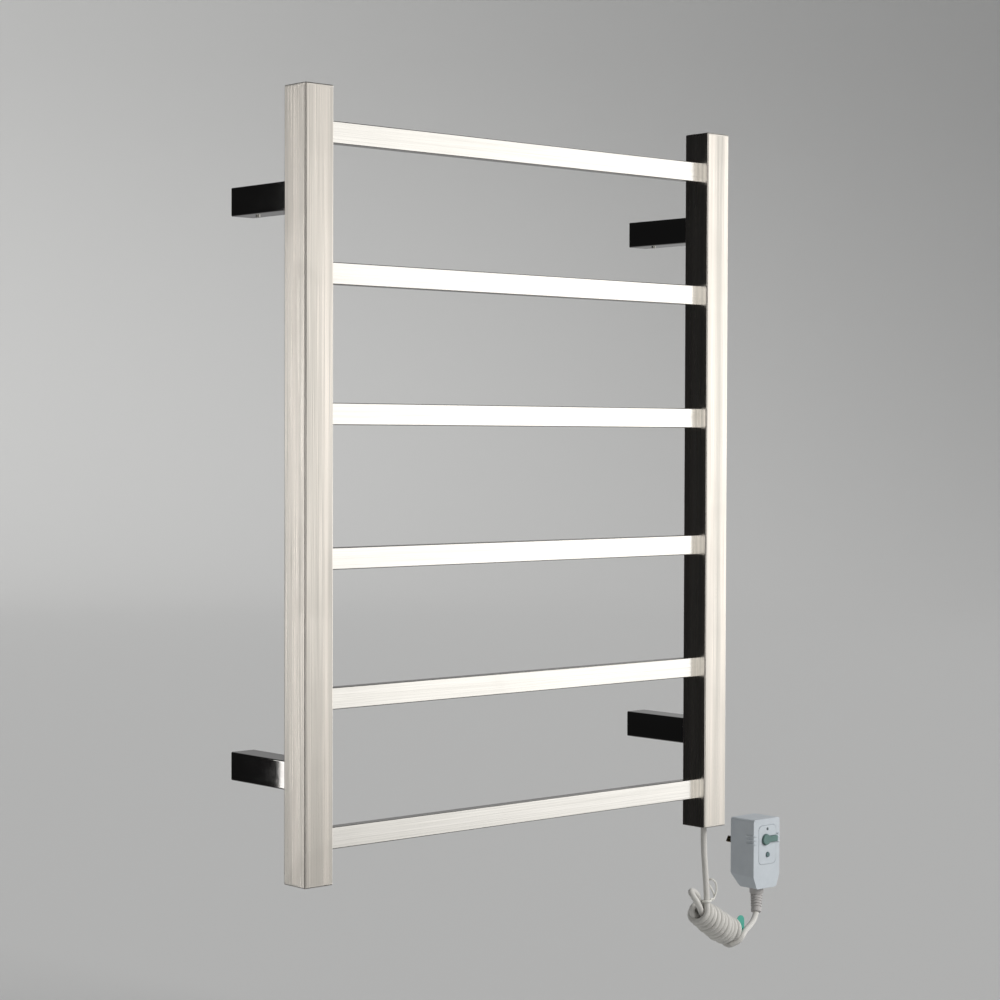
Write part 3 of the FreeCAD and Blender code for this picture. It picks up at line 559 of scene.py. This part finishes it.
def makeFinish(name, look):
    material = bpy.data.materials.new(name + "_finish")
    material.use_nodes = True
    tree = material.node_tree
    shader = tree.nodes["Principled BSDF"]
    place = tree.nodes.new("ShaderNodeTexCoord")
    grain = tree.nodes.new("ShaderNodeGroup")
    grain.node_tree = grainField
    grain.inputs["Grain"].default_value = look["grain"]
    grain.inputs["Cloud"].default_value = look["cloud"]
    link(tree, place.outputs["Object"], grain.inputs["Vector"])
    marks = tree.nodes.new("ShaderNodeGroup")
    marks.node_tree = smudges
    marks.inputs["Size"].default_value = look["cloud"] * finishPlan["markSize"]
    marks.inputs["Amount"].default_value = look["smudge"]
    link(tree, place.outputs["Object"], marks.inputs["Vector"])

    # colour: base and second mixed by the fine lines and the broad bands together
    both = tree.nodes.new("ShaderNodeMath")
    both.operation = "MULTIPLY_ADD"
    both.inputs[1].default_value = finishPlan["lineWeight"]
    link(tree, grain.outputs["Lines"], both.inputs[0])
    link(tree, grain.outputs["Bands"], both.inputs[2])
    share = tree.nodes.new("ShaderNodeMapRange")
    share.inputs["From Min"].default_value = finishPlan["mixRange"][0]
    share.inputs["From Max"].default_value = finishPlan["mixRange"][1]
    link(tree, both.outputs[0], share.inputs["Value"])
    colour = tree.nodes.new("ShaderNodeMix")
    colour.data_type = "RGBA"
    colour.inputs["A"].default_value = (*look["base"], 1)
    colour.inputs["B"].default_value = (*look["second"], 1)
    link(tree, share.outputs["Result"], colour.inputs["Factor"])
    link(tree, colour.outputs["Result"], shader.inputs["Base Color"])

    # roughness: the lines spread it, and the marks dull it
    rough = tree.nodes.new("ShaderNodeMapRange")
    rough.inputs["From Min"].default_value = finishPlan["lineRange"][0]
    rough.inputs["From Max"].default_value = finishPlan["lineRange"][1]
    rough.inputs["To Min"].default_value = look["rough"][0]
    rough.inputs["To Max"].default_value = look["rough"][1]
    link(tree, grain.outputs["Lines"], rough.inputs["Value"])
    dulled = tree.nodes.new("ShaderNodeMath")
    dulled.operation = "MULTIPLY_ADD"
    dulled.inputs[1].default_value = finishPlan["markDullness"]
    link(tree, marks.outputs["Mask"], dulled.inputs[0])
    link(tree, rough.outputs["Result"], dulled.inputs[2])
    link(tree, dulled.outputs[0], shader.inputs["Roughness"])

    bump = tree.nodes.new("ShaderNodeBump")
    bump.inputs["Strength"].default_value = look["bump"]
    bump.inputs["Distance"].default_value = finishPlan["bumpDistance"]
    link(tree, grain.outputs["Lines"], bump.inputs["Height"])
    link(tree, bump.outputs["Normal"], shader.inputs["Normal"])

    shader.inputs["Metallic"].default_value = look.get("metal", 0)
    shader.inputs["Coat Weight"].default_value = look.get("coat", 0)
    return material


made = {name: makeFinish(name, look) for name, look in finishes.items()}

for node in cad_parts.values():
    for slot in node.material_slots:
        slot.material = made[slot.material.name.split(".")[0]]
for piece, slotName in ((mainsCord, "cord_pvc"), (cordTie, "tie_wire"), (cordTag, "tag_teal")):
    piece.data.materials.clear()
    piece.data.materials.append(made[slotName])
    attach(piece, "rack")
print("finishes made:", len(made))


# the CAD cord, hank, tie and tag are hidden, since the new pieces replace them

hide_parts("cord_hank", "mains_cord_upper", "mains_cord_lower")
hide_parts("cord_tie")
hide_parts("cord_tag")


# studio: pale floor that sweeps up into a round backdrop, and soft light

studioPlan = {
    "floorLevel": -0.62,
    "floorRadius": 7.0,
    "sweep": 2.5,
    "sweepSteps": 12,
    "corners": 96,
    "wallTop": 0.3,
    "floorColour": (0.70, 0.70, 0.695),
    "floorRoughness": 0.9,
    "floorSpecular": 0.1,
    "sunFrom": (1.15, -2.2, 1.6),
    "sunStrength": 2.4,
    "sunAngle": 35,
    "sunColour": (1.0, 0.995, 0.985),
    "airColour": (0.97, 0.985, 1.0),
    "airLight": 0.21,      # what matt surfaces get from all round
    "darkRoom": 0.008,     # what gloss sees where there is no panel
}


def makeBackdrop():
    deselectAll()
    plan = studioPlan
    bpy.ops.mesh.primitive_circle_add(
        vertices=plan["corners"], radius=plan["floorRadius"], fill_type="NOTHING",
        location=(0, 0, plan["floorLevel"]))
    backdrop = settle(bpy.context.object, "backdrop")
    bpy.ops.object.mode_set(mode="EDIT")
    bpy.ops.mesh.select_mode(type="EDGE")
    bpy.ops.mesh.select_all(action="SELECT")
    radius, steps = plan["floorRadius"], plan["sweepSteps"]
    for step in range(steps + 1):
        if step < steps:
            turned = math.pi / 2 / steps
            rise = plan["sweep"] * (math.cos(step * turned) - math.cos((step + 1) * turned))
            grown = radius + plan["sweep"] * (math.sin((step + 1) * turned) - math.sin(step * turned))
        else:
            rise, grown = plan["wallTop"], radius
        bpy.ops.mesh.extrude_region_move(TRANSFORM_OT_translate={"value": (0, 0, rise)})
        bpy.ops.transform.resize(value=(grown / radius, grown / radius, 1))
        radius = grown
    bpy.ops.mesh.select_all(action="DESELECT")
    bpy.ops.object.mode_set(mode="OBJECT")
    for edge in backdrop.data.edges:
        ends = [backdrop.data.vertices[index].co.z for index in edge.vertices]
        edge.select = max(ends) < plan["floorLevel"] + 1e-4
    bpy.ops.object.mode_set(mode="EDIT")
    bpy.ops.mesh.edge_face_add()
    bpy.ops.object.mode_set(mode="OBJECT")
    bpy.ops.object.shade_smooth()
    backdrop.visible_glossy = False
    paint = bpy.data.materials.new("backdrop_paint")
    paint.use_nodes = True
    shader = paint.node_tree.nodes["Principled BSDF"]
    shader.inputs["Base Color"].default_value = (*plan["floorColour"], 1)
    shader.inputs["Roughness"].default_value = plan["floorRoughness"]
    shader.inputs["Specular IOR Level"].default_value = plan["floorSpecular"]
    backdrop.data.materials.append(paint)


makeBackdrop()

# light panels as gloss sees them: bearing from the wall's normal toward the right, and height, in degrees
panels = [
    dict(bearing=60, half=14, soft=32, height=1, halfHeight=3, softHeight=17, strength=1.62,
         tint=(1.0, 0.985, 0.955)),
    dict(bearing=105, half=12, soft=20, height=5, halfHeight=25, softHeight=25, strength=0.9,
         tint=(1.0, 0.99, 0.97)),
    dict(bearing=-42, half=8, soft=14, height=0, halfHeight=16, softHeight=20, strength=1.25,
         tint=(1.0, 0.985, 0.96)),
    dict(bearing=150, half=22, soft=25, height=0, halfHeight=20, softHeight=30, strength=0.22,
         tint=(1.0, 1.0, 1.0)),
    dict(bearing=0, half=180, soft=1, height=-90, halfHeight=30, softHeight=40, strength=0.20,
         tint=(1.0, 0.99, 0.97)),
]


def mathNode(tree, operation, *values):
    node = tree.nodes.new("ShaderNodeMath")
    node.operation = operation
    for socket, value in zip(node.inputs, values):
        if isinstance(value, (int, float)):
            socket.default_value = value
        else:
            link(tree, value, socket)
    return node.outputs[0]


def softStep(tree, value, inner, outer):
    node = tree.nodes.new("ShaderNodeMapRange")
    node.interpolation_type = "SMOOTHSTEP"
    node.inputs["From Min"].default_value = outer
    node.inputs["From Max"].default_value = inner
    link(tree, value, node.inputs["Value"])
    return node.outputs["Result"]


def makeWorld():
    world = bpy.data.worlds.new("studioAir")
    bpy.context.scene.world = world
    world.use_nodes = True
    tree = world.node_tree
    tree.nodes.clear()
    coordinates = tree.nodes.new("ShaderNodeTexCoord")
    parts = tree.nodes.new("ShaderNodeSeparateXYZ")
    link(tree, coordinates.outputs["Generated"], parts.inputs[0])
    toDegrees = 180 / math.pi
    across, inward, upward = parts.outputs
    outward = mathNode(tree, "MULTIPLY", inward, -1.0)
    bearing = mathNode(tree, "MULTIPLY", mathNode(tree, "ARCTAN2", across, outward), toDegrees)
    height = mathNode(tree, "MULTIPLY", mathNode(tree, "ARCSINE", upward), toDegrees)
    total = None
    for panel in panels:
        away = mathNode(tree, "ABSOLUTE", mathNode(tree, "SUBTRACT", bearing, float(panel["bearing"])))
        aside = softStep(tree, away, panel["half"], panel["half"] + panel["soft"])
        awayUp = mathNode(tree, "ABSOLUTE", mathNode(tree, "SUBTRACT", height, float(panel["height"])))
        above = softStep(tree, awayUp, panel["halfHeight"], panel["halfHeight"] + panel["softHeight"])
        amount = mathNode(tree, "MULTIPLY", mathNode(tree, "MULTIPLY", aside, above), panel["strength"])
        tinted = tree.nodes.new("ShaderNodeVectorMath")
        tinted.operation = "SCALE"
        tinted.inputs[0].default_value = panel["tint"]
        link(tree, amount, tinted.inputs["Scale"])
        if total is None:
            total = tinted.outputs[0]
        else:
            added = tree.nodes.new("ShaderNodeVectorMath")
            added.operation = "ADD"
            link(tree, total, added.inputs[0])
            link(tree, tinted.outputs[0], added.inputs[1])
            total = added.outputs[0]
    dark = tree.nodes.new("ShaderNodeVectorMath")
    dark.operation = "ADD"
    link(tree, total, dark.inputs[0])
    dark.inputs[1].default_value = (studioPlan["darkRoom"],) * 3
    seenByGloss = tree.nodes.new("ShaderNodeBackground")
    link(tree, dark.outputs[0], seenByGloss.inputs["Color"])
    air = tree.nodes.new("ShaderNodeBackground")
    air.inputs["Color"].default_value = (*studioPlan["airColour"], 1)
    air.inputs["Strength"].default_value = studioPlan["airLight"]
    path = tree.nodes.new("ShaderNodeLightPath")
    either = tree.nodes.new("ShaderNodeMixShader")
    link(tree, path.outputs["Is Glossy Ray"], either.inputs[0])
    link(tree, air.outputs[0], either.inputs[1])
    link(tree, seenByGloss.outputs[0], either.inputs[2])
    end = tree.nodes.new("ShaderNodeOutputWorld")
    link(tree, either.outputs[0], end.inputs["Surface"])


makeWorld()

stripPlan = {
    "aim": (-0.26, -0.095, 0.0),
    "bearing": (-0.60, 0.80),   # from the left post toward the strip
    "away": 0.9,
    "shift": -0.117,            # sideways, so that the strip's near edge falls on the arms
    "width": 0.26,
    "height": 1.3,
    "watts": 0.12,
    "spread": 40,
    "lean": -1.1,               # degrees
    "colour": (1.0, 0.985, 0.96),
}


def makeStrip():
    plan = stripPlan
    aim = Vector(plan["aim"])
    outward = Vector((*plan["bearing"], 0)).normalized()
    sideways = Vector((outward.y, -outward.x, 0))
    light = bpy.data.lights.new("sideStrip", "AREA")
    light.shape = "RECTANGLE"
    light.size, light.size_y = plan["width"], plan["height"]
    light.energy = plan["watts"]
    light.spread = math.radians(plan["spread"])
    light.color = plan["colour"]
    strip = bpy.data.objects.new("sideStrip", light)
    bpy.context.scene.collection.objects.link(strip)
    strip.location = aim + outward * plan["away"] + sideways * plan["shift"]
    strip.rotation_euler = (outward.to_track_quat("Z", "Y")
                            @ Matrix.Rotation(math.radians(plan["lean"]), 3, "Z").to_quaternion()).to_euler()
    strip.visible_camera = False


makeStrip()

sun = bpy.data.lights.new("softKey", "SUN")
sun.energy = studioPlan["sunStrength"]
sun.angle = math.radians(studioPlan["sunAngle"])
sun.color = studioPlan["sunColour"]
sunHolder = bpy.data.objects.new("softKey", sun)
bpy.context.scene.collection.objects.link(sunHolder)
sunHolder.rotation_euler = Vector(studioPlan["sunFrom"]).to_track_quat("Z", "Y").to_euler()
sunHolder.visible_glossy = False
print("studio lit")

bpy.context.view_layer.update()
